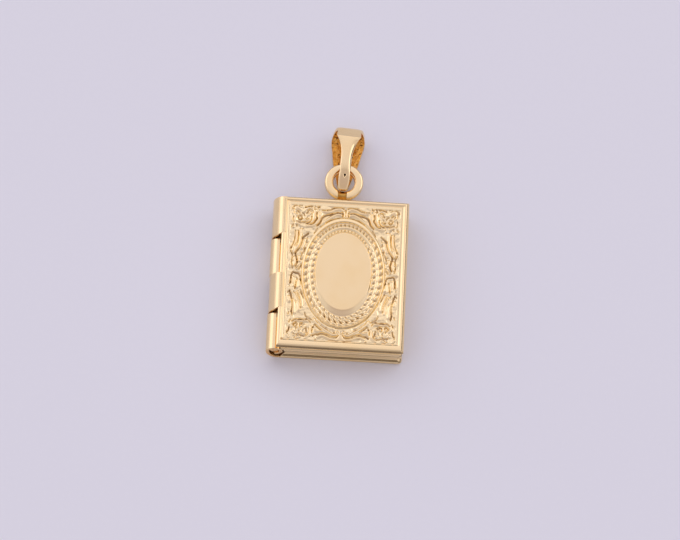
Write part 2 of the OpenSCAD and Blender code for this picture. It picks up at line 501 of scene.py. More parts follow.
def make_front_case(finishes):
    skin = Skin()
    rings = cover_recess(1, FRONT_WALL_X)
    for inset, height in FRONT_EDGE:
        # The spine's wall leans out, and above it the face reaches to where the sheet was cut
        wall_x = FRONT_WALL_X - 0.35 * ease(height, 0.3, 0.8)
        left = wall_x + (CUT_X - wall_x) * ease(height, 1.38, 1.41)
        left += 1.6 * max(0, height - 1.7)
        head_inset = inset
        if height > HEAD_ROUND_Z:
            left_over = max(0, HEAD_ROUND_R ** 2 - (height - HEAD_ROUND_Z) ** 2)
            head_inset = HEAD_ROUND_R - math.sqrt(left_over)
        foot, head = foot_y + inset, head_y - head_inset
        rounding = 0.3 - 0.2 * ease(height, 1.0, 1.46)
        rings.append(plan_ring(left, fore_x - inset, foot, head, mid_z + height, round_right=rounding))
    for left, right, foot, head, z in FACE_LINES:
        rings.append(plan_ring(face_x + left, face_x + right, face_y + foot, face_y + head, z))
    skin.loft(rings)
    for i in (0, 2):
        knuckle(skin, i, 1, FRONT_ROLL_R, NOTCH_FLARE)
    skin.piece("front_case", finishes, "front", "gold_front", stands_for=["front_cover"], sharp=30)


def make_back_case(finishes):
    skin = Skin()
    rings = cover_recess(-1, BACK_WALL_X)
    for inset, depth in BACK_EDGE:
        # The spine's wall leans out to meet the rolled sheet
        left = BACK_WALL_X - 0.95 * max(0, depth - 0.5)
        foot, head = foot_y + inset, head_y - inset
        rings.append(plan_ring(left, fore_x - inset, foot, head, mid_z - depth, round_right=0.35))
    for inset, depth in BACK_FLAT:
        foot, head = foot_y + inset, head_y - inset
        rings.append(plan_ring(CUT_X + inset, fore_x - inset, foot, head, mid_z - depth))
    skin.loft(rings)
    for i in (1, 3):
        knuckle(skin, i, -1, BACK_ROLL_R)
    eyelet_strap(skin)
    skin.piece("back_case", finishes, "back", "gold_back", stands_for=["back_cover"], sharp=30)


STRAP_X, STRAP_W, STRAP_T = 0.08, 0.9, 0.18


def eyelet_strap(skin):
    """A flat strap out of the head wall, round the ring's wire and back into the wall."""
    half_w, half_t, bevel = STRAP_W / 2, STRAP_T / 2, 0.05
    wall_y = head_y - 0.5
    # The strap's middle goes round the wire in an ellipse, close against the wire
    lap = wire_r + 0.03, wire_r + 0.02 + half_t
    path = smooth_line(np.concatenate([
        [(wall_y, mid_z - 0.55), (head_y - 0.1, mid_z - 0.55)],
        arc_points((ring_y - ring_r, mid_z), lap, -100, 150, 30),
        [(head_y + 0.1, mid_z - 0.02), (wall_y, mid_z - 0.2)],
    ]), 2)
    section = [
        (-half_w, -half_t + bevel), (-half_w + bevel, -half_t),
        (half_w - bevel, -half_t), (half_w, -half_t + bevel),
        (half_w, half_t - bevel), (half_w - bevel, half_t),
        (-half_w + bevel, half_t), (-half_w, half_t - bevel),
    ]
    rings = [
        np.array([(STRAP_X + a, y + ny * b, z + nz * b) for a, b in section])
        for (y, z), (ny, nz) in zip(path, sideways(np.gradient(path, axis=0)))
    ]
    skin.loft(rings, mark=2)


def make_pin(finishes):
    """The rod through the knuckles, its ends hammered over a little."""
    steps = 40
    foot, head = pin_low[1], pin_high[1]
    # Distance from an end, and the share of the full radius there
    ends = [(0, 0.55), (0.03, 0.85), (0.1, 1), (0.3, 1)]
    rings = []
    for y, fullness in [(foot + d, k) for d, k in ends] + [(head - d, k) for d, k in reversed(ends)]:
        ring = circle_points((axis_x, mid_z), pin_r * fullness, steps)
        rings.append(np.column_stack([ring[:, 0], np.full(steps, y), ring[:, 1]]))
    skin = Skin()
    skin.loft(rings)
    skin.piece("pin", finishes, "back", "gold_pin", stands_for=["hinge_pin"], sharp=50)


# The pressed wire: its breadth and height as shares of the round wire's, and the power that squares it
WIRE_BREADTH, WIRE_HEIGHT, WIRE_POWER = 1.125, 0.92, 0.62


def make_ring(finishes):
    """A round ring of wire that was pressed a little flat, with rounded edges."""
    around = 160
    section = circle_points((0, 0), 1, 48)
    section = np.sign(section) * np.abs(section) ** WIRE_POWER
    reach = ring_r - (WIRE_BREADTH - 1) * wire_r + WIRE_BREADTH * wire_r * section[:, 0]
    z = mid_z + WIRE_HEIGHT * wire_r * section[:, 1]
    rings = []
    for k in range(around):
        turn = 2 * math.pi * k / around
        rings.append(np.column_stack([ring_x + reach * math.cos(turn), ring_y + reach * math.sin(turn), z]))
    skin = Skin()
    skin.loft(rings, wrap=True)
    skin.piece("ring", finishes, "back", "gold_ring", stands_for=["hanging_ring"])


# The bail: a strip bent into a drop, narrow in front and wider behind. It is turned clockwise about a place
# near its lower end, which is given across and above the covers' head and is BAIL_L from its fold
BAIL_X, BAIL_Y = 0.1, 1.64
BAIL_L = 6.65
BAIL_TURN = math.radians(-4)
# Outside of the strip, from the crease in front over the fold, down the back and round the tip:
# distance from the fold, height above the ring's plane, width, thickness
BAIL_PATH = [
    (1.46, 1.72, 2.4, 0.4), (1.38, 1.66, 2.44, 0.4), (1.05, 1.4, 2.42, 0.4), (0.65, 1.08, 2.4, 0.4),
    (0.3, 0.78, 2.38, 0.4), (0.1, 0.48, 2.42, 0.4), (0.02, 0.15, 2.56, 0.4), (0.02, -0.3, 2.8, 0.4),
    (0.13, -0.8, 3.05, 0.4), (0.4, -1.22, 3.25, 0.4), (0.85, -1.55, 3.4, 0.4), (1.4, -1.71, 3.3, 0.4),
    (2.1, -1.74, 3.02, 0.4), (3.15, -1.66, 2.67, 0.4), (4.2, -1.5, 2.2, 0.4), (5.2, -1.34, 1.6, 0.42),
    (6.0, -1.22, 1.2, 0.46), (6.45, -0.95, 0.8, 0.5), (6.66, -0.6, 0.56, 0.55), (6.76, -0.2, 0.5, 0.6),
    (6.8, 0.15, 0.54, 0.62), (6.88, 0.42, 0.6, 0.65), (6.98, 0.62, 0.66, 0.65), (7.0, 0.78, 0.74, 0.65),
    (6.92, 0.92, 0.84, 0.65), (6.7, 1.05, 0.96, 0.62), (6.4, 1.18, 1.06, 0.6), (6.05, 1.31, 1.12, 0.55),
    (5.65, 1.43, 1.1, 0.48), (5.2, 1.53, 1.04, 0.42), (4.85, 1.6, 1.06, 0.4), (4.3, 1.66, 1.09, 0.4),
    (3.4, 1.7, 1.12, 0.4), (2.63, 1.72, 1.36, 0.4), (1.95, 1.73, 1.83, 0.4), (1.56, 1.73, 2.28, 0.4),
]
# The mould's flaw above the bulb: distance from the fold, place across, radius, depth
BAIL_FLAW = (5.62, 0.04, 0.2, 0.25)
# The outside's edges are rounded off by EDGE_FALL, and in front the fore edge's side falls by FRONT_FALL.
# The strip is rough inside, and thinner at its edges
EDGE_FALL, FRONT_FALL = 0.06, 0.18
CAST_ROUGH, CAST_THIN = 0.05, 0.06


def make_bail(finishes):
    across, steps = 33, 7
    path = smooth_line(BAIL_PATH + BAIL_PATH[:3], steps)[steps:-steps - 1]
    inwards = sideways(np.roll(path[:, :2], -1, 0) - np.roll(path[:, :2], 1, 0))
    spread = np.linspace(-1, 1, across)
    flaw_at, flaw_x, flaw_r, flaw_deep = BAIL_FLAW
    rings, flawed = [], []
    for (distance, height, width, thick), normal in zip(path, inwards):
        x = spread * width / 2
        in_front = ease(height, 1.5, 1.7) * ease(-width, -2.1, -1.5)
        flaw = 1 - np.maximum(2 * np.abs(x - flaw_x) + distance - flaw_at, flaw_at - distance) / flaw_r
        flaw = np.clip(flaw, 0, 1) * (height > 0)
        flawed.extend(np.concatenate([flaw > 0, np.full(across, False)]))
        outside = EDGE_FALL * np.abs(spread) ** 5 + flaw_deep * flaw
        outside += in_front * FRONT_FALL * (np.clip(spread - 0.3, 0, 1) / 0.7) ** 2
        grain = np.array([noise.noise(3.1 * Vector((a, distance, height))) for a in x])
        inside = thick + CAST_ROUGH * grain - CAST_THIN * spread ** 2
        deep = np.concatenate([outside, inside[::-1]])
        x = np.concatenate([x, spread[::-1] * (width / 2 - 0.03)])
        y = BAIL_L - distance - normal[0] * deep
        rings.append(np.column_stack([
            BAIL_X + x * math.cos(BAIL_TURN) - y * math.sin(BAIL_TURN),
            head_y + BAIL_Y + x * math.sin(BAIL_TURN) + y * math.cos(BAIL_TURN),
            mid_z + height + normal[1] * deep,
        ]))

    def finish_of(face):
        if all(flawed[i] for i in face):
            return 2
        return 1 if min(i % (2 * across) for i in face) >= across else 0

    skin = Skin()
    skin.loft(rings, wrap=True, mark=finish_of)
    skin.piece("bail_loop", finishes, "back", "gold_bail", stands_for=["bail"], sharp=60)


# The stamped face: bands round the oval, and the scrolls of the field

BAND_ROWS = [
    # Half width, half height, shift towards the head, height above the field
    (2.5, 3.83, 0.27, 0.155), (2.68, 4.0, 0.27, 0.154), (2.76, 4.08, 0.27, 0.15), (2.79, 4.12, 0.265, 0.135),
    (2.81, 4.18, 0.23, 0.11), (2.83, 4.26, 0.17, 0.075), (2.85, 4.35, 0.08, 0.035), (2.87, 4.42, 0.03, 0.0),
    # Inner beads
    (2.9, 4.46, 0.01, -0.01), (2.95, 4.5, 0, 0.02), (2.99, 4.53, 0, 0.06), (3.04, 4.58, 0, 0.095),
    (3.09, 4.63, 0, 0.105), (3.14, 4.68, 0, 0.095), (3.19, 4.73, 0, 0.06), (3.23, 4.77, 0, 0.02),
    # Smooth band
    (3.26, 4.81, 0, 0.012), (3.3, 4.85, 0, 0.05), (3.36, 4.91, 0, 0.085), (3.42, 4.97, 0, 0.1),
    (3.49, 5.04, 0, 0.085), (3.55, 5.1, 0, 0.05), (3.59, 5.14, 0, 0.02),
    # Outer beads
    (3.63, 5.18, 0, 0.06), (3.69, 5.24, 0, 0.11), (3.76, 5.31, 0, 0.13), (3.83, 5.38, 0, 0.11),
    (3.89, 5.44, 0, 0.06), (3.93, 5.48, 0, 0.02),
    # Ridge
    (3.95, 5.51, 0, 0.03), (3.97, 5.55, 0, 0.08), (4.0, 5.6, 0, 0.14), (4.04, 5.65, 0, 0.155),
    (4.09, 5.7, 0.03, 0.135), (4.13, 5.76, 0.07, 0.1), (4.17, 5.83, 0.1, 0.06), (4.21, 5.89, 0.11, 0.01),
    (4.23, 5.92, 0.11, -0.03),
]
# Beads round the whole oval if they went on as at its sides, as at the head and as in the foot's rope
BEADS, HEAD_BEADS, ROPE_STRANDS = 40, 68, 46
# Half width and half height of the line along which they are evenly spaced
BEAD_LINE = (3.6, 5.15)
# Depth of the gaps in the inner row, in the outer row, in the band between them and in the rope
INNER_GAP, OUTER_GAP, BAND_GAP, ROPE_GAP = 0.23, 0.26, 0.06, 0.23
# How far the pieces of the face reach below its field, into the case
FACE_DEEP = 0.2


def bead_gaps(share, beads, slant=0.0):
    """Gaps between round beads side by side: 0 on top of each bead and 1 between two."""
    off_top = np.abs((beads * share + slant) % 1 - 0.5) * 2
    return 1 - (1 - off_top ** 2) ** 0.7


def make_oval_bands(finishes):
    """The plain oval, two rows of beads with a smooth band between them, and the ridge. At the head the
    beads are finer, with a channel outside them, and at the foot the outer row is a rope."""
    count = 24 * BEADS
    turn = np.linspace(0, 2 * math.pi, 8001)
    steps = np.hypot(np.diff(BEAD_LINE[0] * np.sin(turn)), np.diff(BEAD_LINE[1] * np.cos(turn)))
    length = np.concatenate([[0], np.cumsum(steps)])
    share = np.arange(count) / count
    turn = np.interp(share * length[-1], length, turn)
    at_head, at_foot = ease(np.cos(turn), 0.55, 0.85), ease(-np.cos(turn), 0.6, 0.9)
    at_side = (1 - at_head) * (1 - at_foot)

    def oval(half_w, half_h, shift, height):
        x, y = face_x + half_w * np.sin(turn), face_y + shift + half_h * np.cos(turn)
        return np.column_stack([x, y, np.full(count, field_z) + height])

    rows = smooth_line(BAND_ROWS, 2)
    half_w, half_h, shift, lift = rows[0]
    rings = [
        oval(part * half_w, part * half_h, shift, lift + 0.012 * (1 - part ** 2))
        for part in (0.002, 0.2, 0.4, 0.6, 0.8, 0.93)
    ]
    head_gaps = bead_gaps(share, HEAD_BEADS)
    for half_w, half_h, shift, lift in rows:
        side_gaps = bead_gaps(share, BEADS, slant=0.7 * (half_w - 3.4))
        rope_gaps = bead_gaps(share, ROPE_STRANDS, slant=1.6 * (half_w - 3.6))
        channel = ease(half_w, 3.78, 3.86) * (1 - ease(half_w, 3.93, 3.97))
        height = lift - (lift + 0.03) * channel * at_head
        height -= INNER_GAP * mound(half_w, 3.09, 0.17) * (side_gaps * (1 - at_head) + head_gaps * at_head)
        height -= OUTER_GAP * mound(half_w, 3.76, 0.2) * side_gaps * at_side
        height -= OUTER_GAP * mound(half_w, 3.71, 0.16) * head_gaps * at_head
        height -= BAND_GAP * mound(half_w, 3.42, 0.2) * side_gaps * at_side
        height -= ROPE_GAP * mound(half_w, 3.6, 0.32, power=4) * rope_gaps * at_foot
        rings.append(oval(half_w, half_h, shift, height))
    rings.append(oval(half_w, half_h, shift, -FACE_DEEP))
    skin = Skin()
    skin.loft(rings)
    skin.piece("oval_bands", finishes, "front", "gold_front")


# The relief, from the face's middle, for the fore edge's half. The other half mirrors it.
# Ridges and valleys: half width, lift or depth, and their lines
BROAD, RIDGE, THIN = (0.24, 0.16), (0.18, 0.16), (0.12, 0.14)
RIDGES = [
    # Head ribbon, from the middle out to the corner flower
    (THIN, [(0.12, 6.6), (0.12, 6.3), (0.18, 6.05)]),
    (RIDGE, [(0.3, 6.75), (0.5, 6.88), (0.85, 6.85), (1.15, 6.75), (1.5, 6.55), (1.9, 6.5), (2.2, 6.55),
             (2.4, 6.45), (2.5, 6.1), (2.6, 5.8), (2.75, 5.45), (2.95, 5.15)]),
    (RIDGE, [(2.7, 6.4), (2.65, 6.0), (2.7, 5.7), (2.9, 5.4), (3.1, 5.1), (3.4, 4.95)]),
    (RIDGE, [(0.45, 6.25), (0.8, 6.3), (1.3, 6.05), (1.85, 5.65), (2.3, 5.3), (2.5, 5.1)]),
    (THIN, [(2.1, 5.85), (2.3, 5.55), (2.5, 5.2)]),
    # Corner flower at the head
    (BROAD, [(3.05, 6.6), (3.1, 6.2), (3.1, 5.9), (3.2, 5.65), (3.35, 5.35)]),
    (THIN, [(3.5, 6.0), (3.5, 5.75), (3.65, 5.5), (3.9, 5.42), (4.3, 5.45)]),
    (RIDGE, [(3.45, 6.75), (3.65, 6.85), (3.85, 6.75)]),
    (THIN, [(3.5, 6.4), (3.6, 6.2), (3.7, 6.1)]),
    (THIN, [(4.1, 6.75), (4.15, 6.5)]),
    (BROAD, [(4.6, 6.7), (4.9, 6.85), (5.0, 6.7)]),
    (THIN, [(4.85, 6.0), (5.05, 6.2), (5.1, 6.5)]),
    (THIN, [(4.15, 5.65), (4.3, 5.5)]),
    (RIDGE, [(3.5, 4.95), (3.8, 4.9), (3.9, 5.0)]),
    (RIDGE, [(4.55, 5.05), (4.9, 5.2)]),
    # Side, upper half
    (RIDGE, [(4.4, 4.5), (4.45, 4.3), (4.4, 3.9), (4.4, 3.5), (4.45, 3.1), (4.6, 2.75), (4.85, 2.4),
             (5.0, 2.1)]),
    (RIDGE, [(4.8, 4.3), (4.8, 3.6), (4.85, 3.3), (5.05, 2.6), (5.15, 2.2)]),
    (BROAD, [(4.05, 3.4), (4.15, 3.0), (4.3, 2.6)]),
    (RIDGE, [(4.5, 1.6), (4.5, 1.2)]),
    (RIDGE, [(4.9, 1.5), (4.85, 1.0), (4.95, 0.7)]),
    (THIN, [(4.35, 0.8), (4.5, 0.55), (4.65, 0.3)]),
    # Side, lower half
    (RIDGE, [(4.55, -1.0), (4.55, -1.6)]),
    (RIDGE, [(4.85, -0.7), (4.9, -1.5)]),
    (THIN, [(5.05, -0.5), (5.05, -1.0), (5.0, -1.3)]),
    (THIN, [(4.35, -0.9), (4.3, -1.5)]),
    (BROAD, [(4.45, -2.2), (4.2, -2.6), (4.05, -3.1), (4.0, -3.6)]),
    (RIDGE, [(4.65, -2.3), (4.4, -2.9), (4.3, -3.4), (4.25, -4.0)]),
    (BROAD, [(4.9, -3.0), (4.8, -3.6), (4.75, -4.3)]),
    (RIDGE, [(5.3, -2.7), (5.2, -3.1)]),
    # Corner flower at the foot
    (RIDGE, [(3.3, -5.2), (3.6, -5.15), (4.0, -5.25), (4.4, -5.15), (4.6, -5.2), (4.8, -5.4)]),
    (THIN, [(3.45, -5.6), (3.55, -5.8), (3.7, -5.95)]),
    (THIN, [(4.2, -5.5), (4.25, -5.8), (4.05, -6.1), (4.1, -6.4)]),
    (RIDGE, [(4.85, -5.75), (4.65, -5.95), (4.65, -6.2)]),
    (RIDGE, [(2.95, -5.8), (3.05, -6.1), (3.05, -6.5), (3.25, -6.75), (3.5, -6.95)]),
    (THIN, [(3.5, -6.5), (3.6, -6.45)]),
    (RIDGE, [(4.1, -6.85), (4.4, -7.0)]),
    (RIDGE, [(5.35, -6.7), (5.2, -6.95)]),
    (THIN, [(5.0, -5.2), (5.05, -5.6)]),
    # Foot, next to the middle
    (BROAD, [(0.05, -6.55), (0.15, -6.85), (0.4, -7.05)]),
    (RIDGE, [(0.4, -6.45), (0.8, -6.48), (1.3, -6.2), (1.8, -5.9), (2.3, -5.5), (2.6, -5.2), (2.75, -4.9)]),
    (RIDGE, [(0.6, -7.0), (1.0, -6.95), (1.5, -6.75), (1.9, -6.65), (2.15, -6.75)]),
    (THIN, [(1.5, -6.3), (1.9, -6.15), (2.3, -6.2), (2.6, -6.1)]),
]
KNOBS = [
    # Place, radius
    (3.82, 5.72, 0.14), (4.55, 5.78, 0.19), (2.85, 7.15, 0.15), (2.65, 6.8, 0.15), (3.8, 3.5, 0.15),
    (4.35, 2.05, 0.13), (5.05, 1.2, 0.12), (5.2, 4.75, 0.15), (4.1, -0.3, 0.12), (4.75, -0.6, 0.16),
    (3.95, -5.7, 0.17), (4.55, -5.66, 0.17), (4.8, -6.35, 0.25), (0.4, -6.15, 0.13), (0.25, -6.22, 0.1),
    (2.3, -6.8, 0.22), (2.5, -7.05, 0.15), (2.15, -5.4, 0.12),
]
CUT, LINE, FAINT = (0.12, 0.2), (0.1, 0.14), (0.09, 0.08)
VALLEYS = [
    # Head, from the middle out
    (LINE, [(0, 6.85), (0, 6.58)]),
    (CUT, [(0, 5.93), (0.35, 5.88), (0.7, 5.9), (1.05, 5.78), (1.5, 5.6), (1.9, 5.33)]),
    (LINE, [(0.28, 6.1), (0.3, 6.4), (0.35, 6.6)]),
    (CUT, [(0.5, 6.5), (0.85, 6.5), (1.3, 6.35), (2.0, 6.15), (2.25, 6.0), (2.4, 5.7), (2.55, 5.3),
           (2.85, 5.02)]),
    (LINE, [(0.2, 7.0), (0.45, 7.08), (1.1, 7.05), (1.4, 6.9), (1.65, 6.78), (2.15, 6.68), (2.4, 6.72)]),
    (LINE, [(2.65, 7.2), (2.65, 7.05), (2.8, 6.98)]),
    (FAINT, [(2.6, 6.5), (2.62, 6.2)]),
    (CUT, [(2.88, 6.4), (2.95, 6.1), (2.85, 5.8), (3.0, 5.55), (3.15, 5.3), (3.4, 5.15), (3.5, 5.2)]),
    # Corner flower at the head
    (LINE, [(3.0, 7.2), (3.12, 7.0), (3.1, 6.75)]),
    (LINE, [(3.3, 7.1), (3.55, 7.12), (3.72, 7.03), (4.04, 6.95)]),
    (LINE, [(4.4, 7.1), (4.55, 7.2), (4.62, 7.1)]),
    (LINE, [(4.8, 7.25), (5.05, 7.1), (5.25, 6.95), (5.35, 6.75), (5.2, 6.68)]),
    (LINE, [(3.42, 5.95), (3.4, 5.65), (3.55, 5.42), (3.78, 5.25), (4.0, 5.35), (4.25, 5.28), (4.9, 5.42)]),
    (LINE, [(3.45, 6.62), (3.6, 6.68), (3.75, 6.6), (3.78, 6.45), (3.9, 6.3)]),
    (FAINT, [(3.3, 6.55), (3.3, 6.4)]),
    (LINE, [(3.72, 5.7), (3.85, 5.63), (3.95, 5.7)]),
    (LINE, [(4.4, 5.95), (4.55, 6.05), (4.7, 5.95), (4.73, 5.8), (4.65, 5.65), (4.5, 5.58), (4.38, 5.7),
            (4.37, 5.85)]),
    (LINE, [(4.1, 6.05), (4.2, 6.25), (4.35, 6.3)]),
    (LINE, [(4.6, 6.3), (4.8, 6.48)]),
    (LINE, [(4.87, 6.22), (4.95, 6.38)]),
    (LINE, [(5.2, 5.9), (5.25, 5.6), (5.15, 5.3)]),
    (FAINT, [(5.3, 6.5), (5.2, 6.3)]),
    (LINE, [(5.2, 5.05), (5.3, 4.9), (5.35, 4.8)]),
    (LINE, [(2.75, 4.75), (2.95, 4.4), (3.05, 4.2)]),
    # Side, upper half
    (CUT, [(3.65, 4.15), (3.95, 3.9), (4.15, 3.7), (4.2, 3.4), (4.3, 3.0), (4.45, 2.6), (4.8, 2.1),
           (4.85, 1.9), (4.75, 1.5), (4.65, 1.1), (4.7, 0.8), (4.8, 0.6)]),
    (LINE, [(3.9, 2.6), (4.0, 2.3), (4.2, 1.9), (4.25, 1.7)]),
    (LINE, [(4.65, 4.4), (4.62, 4.1), (4.65, 3.5), (4.75, 3.1), (4.95, 2.75)]),
    (LINE, [(4.95, 4.4), (4.95, 4.0), (5.0, 3.4), (5.1, 3.05), (5.3, 2.6), (5.4, 2.45)]),
    (LINE, [(5.35, 2.2), (5.15, 1.75), (5.2, 1.3), (5.2, 0.9), (5.1, 0.4)]),
    (LINE, [(4.25, 0.85), (4.25, 0.6), (4.45, 0.3)]),
    (LINE, [(4.4, 0.75), (4.6, 0.55), (4.75, 0.4)]),
    # Side, lower half
    (CUT, [(4.15, -0.9), (4.25, -0.6), (4.4, -0.2), (4.75, -0.1), (5.0, -0.05), (5.15, -0.3), (5.2, -0.7),
           (5.25, -1.2)]),
    (LINE, [(5.25, -2.0), (5.2, -2.3)]),
    (LINE, [(5.25, -2.05), (5.45, -2.2)]),
    (LINE, [(4.55, -0.7), (4.65, -1.1), (4.7, -1.5), (4.75, -1.8)]),
    (LINE, [(4.2, -1.9), (4.1, -2.1), (4.0, -2.4), (3.85, -2.7)]),
    (LINE, [(4.6, -2.1), (4.4, -2.4), (4.3, -2.7), (4.1, -3.4), (4.1, -3.8)]),
    (LINE, [(4.85, -2.1), (4.7, -2.4), (4.5, -2.8), (4.35, -3.1)]),
    (FAINT, [(4.85, -2.8), (4.65, -3.1)]),
    (CUT, [(5.15, -2.3), (5.05, -2.7), (4.95, -3.2), (4.95, -3.8), (5.0, -4.2)]),
    # Corner flower at the foot
    (LINE, [(3.65, -4.3), (3.55, -4.6), (3.3, -4.8), (2.95, -5.0)]),
    (LINE, [(3.2, -5.05), (3.05, -5.3)]),
    (CUT, [(3.4, -4.9), (3.7, -5.05), (4.0, -5.0), (4.2, -5.03), (4.6, -5.05), (4.85, -5.25)]),
    (LINE, [(5.0, -4.2), (4.92, -4.6)]),
    (LINE, [(5.25, -4.3), (5.3, -4.5)]),
    (LINE, [(5.05, -5.1), (5.2, -5.35)]),
    (CUT, [(5.15, -5.9), (5.2, -6.2), (5.35, -6.4)]),
    (LINE, [(3.65, -5.5), (3.8, -5.6), (3.85, -5.45), (4.0, -5.45), (4.05, -5.65)]),
    (LINE, [(4.4, -5.6), (4.45, -5.4), (4.6, -5.45), (4.72, -5.6), (4.65, -5.75), (4.45, -5.95)]),
    (LINE, [(3.45, -5.9), (3.42, -6.2), (3.28, -6.5), (3.5, -6.75), (4.15, -6.65), (4.35, -6.75)]),
    (LINE, [(4.15, -6.2), (4.2, -6.5), (4.4, -6.6), (4.7, -6.6)]),
    (LINE, [(2.75, -5.75), (2.85, -5.95), (2.85, -6.3)]),
    (FAINT, [(3.2, -5.9), (3.2, -6.2)]),
    # Foot, next to the middle
    (CUT, [(0, -5.66), (0.4, -5.62), (0.8, -5.5), (1.05, -5.45)]),
    (LINE, [(0.2, -6.5), (0.45, -6.68), (0.95, -6.68), (1.15, -6.55), (1.65, -6.38), (2.0, -6.38),
            (2.25, -6.48), (2.5, -6.5), (2.75, -6.65)]),
    (FAINT, [(1.25, -5.9), (1.75, -5.62), (2.2, -5.25), (2.55, -4.85)]),
    (LINE, [(1.9, -6.02), (2.25, -5.8), (2.6, -5.5), (2.75, -5.75)]),
]
PITS = [
    # Place, radius, depth
    (0.85, 6.5, 0.14, 0.06), (1.85, 6.73, 0.13, 0.08), (3.72, 7.03, 0.13, 0.08), (4.04, 6.95, 0.13, 0.08),
    (3.78, 5.25, 0.13, 0.08), (3.7, 6.35, 0.1, 0.08), (3.9, 6.37, 0.1, 0.08), (3.82, 5.91, 0.12, 0.12),
    (4.15, 4.68, 0.14, 0.12), (4.48, 4.66, 0.15, 0.12), (4.85, 4.92, 0.14, 0.12), (4.25, 3.65, 0.14, 0.08),
    (3.7, 3.75, 0.14, 0.12), (3.75, 3.22, 0.16, 0.12), (4.25, 1.4, 0.17, 0.12), (5.3, 2.6, 0.13, 0.08),
    (4.7, -0.15, 0.13, 0.08), (4.25, -0.8, 0.13, 0.08), (5.32, -1.5, 0.14, 0.12), (2.75, -4.8, 0.14, 0.1),
    (4.2, -5.03, 0.2, 0.08), (4.95, -4.4, 0.14, 0.1), (4.6, -6.85, 0.2, 0.16), (2.77, -6.65, 0.14, 0.12),
    (1.45, -5.8, 0.16, 0.06), (0.65, -6.22, 0.12, 0.14), (0.27, -6.02, 0.09, 0.1), (0, -6.15, 0.1, 0.1),
    (3.78, -6.2, 0.13, 0.12),
]


# The field's own floor: its mean height, and how much it waves and is grained
FLOOR_H, FLOOR_WAVES, FLOOR_GRAIN = 0.045, 0.08, 0.02
KNOB_LIFT = 0.16
# The lowest and the highest places that the stamp reached
DEEPEST, HIGHEST = -0.14, 0.17
# The trench outside the oval's ridge: its oval and that oval's mean radius, then its half width, and its
# depth at the foot and at the head
TRENCH_W, TRENCH_H, TRENCH_SHIFT, TRENCH_MEAN = 4.15, 5.78, 0.08, 4.9
TRENCH_HALF, TRENCH_FOOT, TRENCH_HEAD = 0.14, 0.1, 0.05
# The plain ledge next to the frame, and the ridge along the spine: its place and its half width
LEDGE_H = 0.055
SPINE_RIDGE_X, SPINE_RIDGE_HALF = -5.81, 0.24


def near_line(x, y, reach, points):
    """The places near a smooth line, and their distance from it: 0 on the line and 1 at reach or beyond."""
    line = smooth_line(points, 10)
    low, high = line.min(0) - reach, line.max(0) + reach
    near = np.flatnonzero((x > low[0]) & (x < high[0]) & (y > low[1]) & (y < high[1]))
    squared = np.full(len(near), np.inf)
    for px, py in line:
        squared = np.minimum(squared, (x[near] - px) ** 2 + (y[near] - py) ** 2)
    return near, np.clip(np.sqrt(squared) / reach, 0, 1)


def relief_height(x, y):
    """Height of the stamped field: soft ridges and knobs, then the sharp valleys and pits between them."""
    across = np.abs(x)
    waves = np.array([noise.noise(Vector((1.9 * a, 1.9 * b, 4.2))) for a, b in zip(x, y)])
    grain = np.array([noise.noise(Vector((4.7 * a, 4.7 * b, 7.1))) for a, b in zip(x, y)])
    height = FLOOR_H + FLOOR_WAVES * waves + FLOOR_GRAIN * grain
    for (half_width, lift), points in RIDGES:
        near, distance = near_line(across, y, 1.15 * half_width, points)
        height[near] = np.maximum(height[near], lift * (1 - distance ** 2) ** 0.8)
    for knob_x, knob_y, radius in KNOBS:
        distance = np.clip(np.hypot(across - knob_x, y - knob_y) / radius, 0, 1)
        height = np.maximum(height, KNOB_LIFT * (1 - distance ** 2) ** 0.6)
    for (half_width, depth), points in VALLEYS:
        near, distance = near_line(across, y, half_width, points)
        height[near] -= depth * (1 - distance)
    for pit_x, pit_y, radius, depth in PITS:
        height -= depth * np.clip(1 - np.hypot(across - pit_x, y - pit_y) / radius, 0, 1)
    from_trench = TRENCH_MEAN * (np.hypot(x / TRENCH_W, (y - TRENCH_SHIFT) / TRENCH_H) - 1)
    trench = TRENCH_FOOT + (TRENCH_HEAD - TRENCH_FOOT) * ease(y, -2, 2)
    height -= trench * np.clip(1 - np.abs(from_trench) / TRENCH_HALF, 0, 1)
    height = np.clip(height, DEEPEST, HIGHEST)
    height += (LEDGE_H - height) * np.maximum(ease(across, 5.44, 5.52), ease(y, 7.08, 7.18))
    spine_ridge = HIGHEST * (1 - ((x - SPINE_RIDGE_X) / SPINE_RIDGE_HALF) ** 2)
    return np.where(x < -5.5, np.maximum(height, spine_ridge), height)


# The field's grid: distance between its points, its left, right, foot and head from the face's middle,
# and the oval that the bands take out of it
GRID_STEP = 0.034
FIELD_EDGES = (-5.95, 5.64, -7.1, 7.48)
FIELD_HOLE = (4.13, 5.76)


